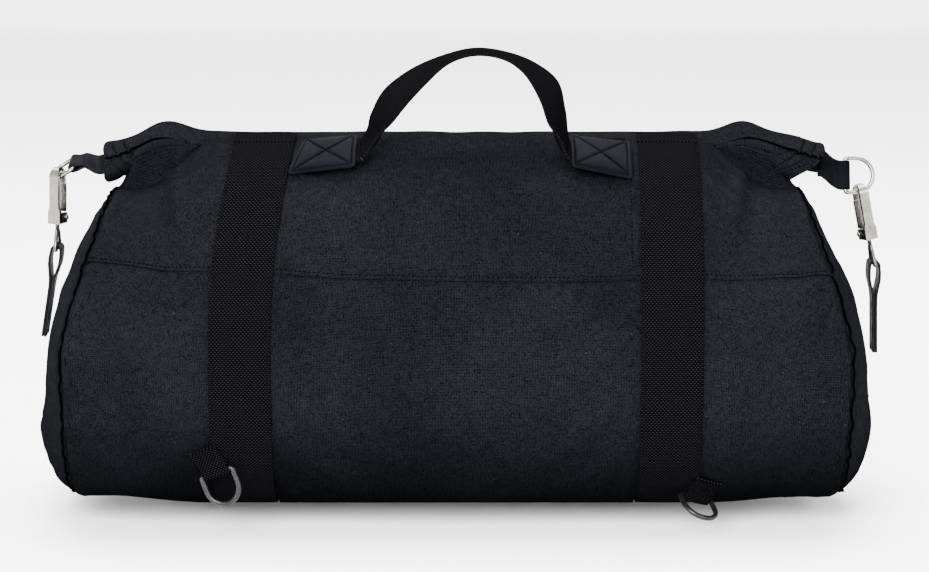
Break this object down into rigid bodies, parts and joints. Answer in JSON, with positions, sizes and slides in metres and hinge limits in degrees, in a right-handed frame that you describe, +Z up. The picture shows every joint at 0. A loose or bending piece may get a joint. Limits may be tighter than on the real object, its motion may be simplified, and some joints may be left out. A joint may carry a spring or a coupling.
{
  "type": "rope storage bag",
  "caption": "Barrel-shaped canvas rope bag with a rolled top held down by snap hooks, a webbing carry handle and rings for a strap.",
  "frame": {"origin": "on the floor under the middle of the base, at the centre of the flat the bag stands on", "axes": "+X along the bag towards its right-hand end, +Y from the front with the handle towards the back, +Z up"},
  "size_m": [0.7104, 0.306, 0.3843],
  "materials": {
    "canvas": "matte black cotton canvas",
    "webbing": "matte black woven webbing",
    "leather": "satin black leather",
    "nickel": "brushed nickel plate",
    "black_steel": "satin black",
    "batten": "matte black"
  },
  "bodies": {
    "bag": {"base_panel": "canvas", "front_upper_panel": "canvas", "back_upper_panel": "canvas", "left_end_panel": "canvas", "right_end_panel": "canvas", "rolled_mouth": "canvas", "mouth_batten": "batten", "left_barrel_strap": "webbing", "left_handle_foot": "webbing", "left_handle_patch": "leather", "left_roll_tab": "leather", "left_hook_strap": "leather", "left_low_loop": "webbing", "left_swivel_eye": "nickel", "right_barrel_strap": "webbing", "right_handle_foot": "webbing", "right_handle_patch": "leather", "right_roll_tab": "leather", "right_hook_strap": "leather", "right_low_loop": "webbing", "right_swivel_eye": "nickel"},
    "handle": {"handle_arch": "webbing"},
    "left_hook": {"left_hook_body": "nickel", "left_gate_pin": "nickel", "left_gate_spring": "nickel"},
    "left_gate": {"left_hook_gate": "nickel"},
    "left_ring": {"left_roll_ring": "nickel"},
    "left_low": {"left_low_ring": "black_steel"},
    "right_hook": {"right_hook_body": "nickel", "right_gate_pin": "nickel", "right_gate_spring": "nickel"},
    "right_gate": {"right_hook_gate": "nickel"},
    "right_ring": {"right_roll_ring": "nickel"},
    "right_low": {"right_low_ring": "black_steel"}
  },
  "joints": [
    {"name": "handle_fold", "type": "hinge", "parent": "bag", "child": "handle", "pos_m": [0, -0.05956, 0.30084], "axis": [1, 0, 0], "range_deg": [-45, 80], "stiffness_Nm_per_rad": 0.05, "deforming": ["left_handle_foot", "right_handle_foot"]},
    {"name": "left_hook_swivel", "type": "hinge", "parent": "bag", "child": "left_hook", "pos_m": [-0.33863, 0, 0.2315], "axis": [0.0175, 0, 0.9998], "range_deg": [-20, 1]},
    {"name": "left_gate_hinge", "type": "hinge", "parent": "left_hook", "child": "left_gate", "pos_m": [-0.33663, 0.00526, 0.23626], "axis": [0.9395, -0.342, -0.0164], "range_deg": [0, 13], "stiffness_Nm_per_rad": 0.02, "springref_deg": -11.46, "deforming": ["left_gate_spring"]},
    {"name": "left_ring_swing", "type": "hinge", "parent": "bag", "child": "left_ring", "pos_m": [-0.32492, 0.01115, 0.28114], "axis": [0, 0.9744, 0.225], "range_deg": [0, 4]},
    {"name": "left_low_ring_swing", "type": "hinge", "parent": "bag", "child": "left_low", "pos_m": [-0.197, -0.12674, 0.04275], "axis": [0.891, -0.2762, 0.3603], "range_deg": [-110, 30]},
    {"name": "right_hook_swivel", "type": "hinge", "parent": "bag", "child": "right_hook", "pos_m": [0.3494, 0, 0.2181], "axis": [-0.1908, 0, 0.9816], "range_deg": [-25, 3]},
    {"name": "right_gate_hinge", "type": "hinge", "parent": "right_hook", "child": "right_gate", "pos_m": [0.3466, 0.00526, 0.22245], "axis": [0.9224, 0.342, 0.1793], "range_deg": [0, 13], "stiffness_Nm_per_rad": 0.02, "springref_deg": -11.46, "deforming": ["right_gate_spring"]},
    {"name": "right_ring_swing", "type": "hinge", "parent": "bag", "child": "right_ring", "pos_m": [0.3288, 0.0035, 0.2719], "axis": [0, 0.2756, 0.9613], "range_deg": [0, 4]},
    {"name": "right_low_ring_swing", "type": "hinge", "parent": "bag", "child": "right_low", "pos_m": [0.198, -0.09812, 0.01497], "axis": [0.891, 0.3684, -0.2654], "range_deg": [-50, 0]}
  ]
}
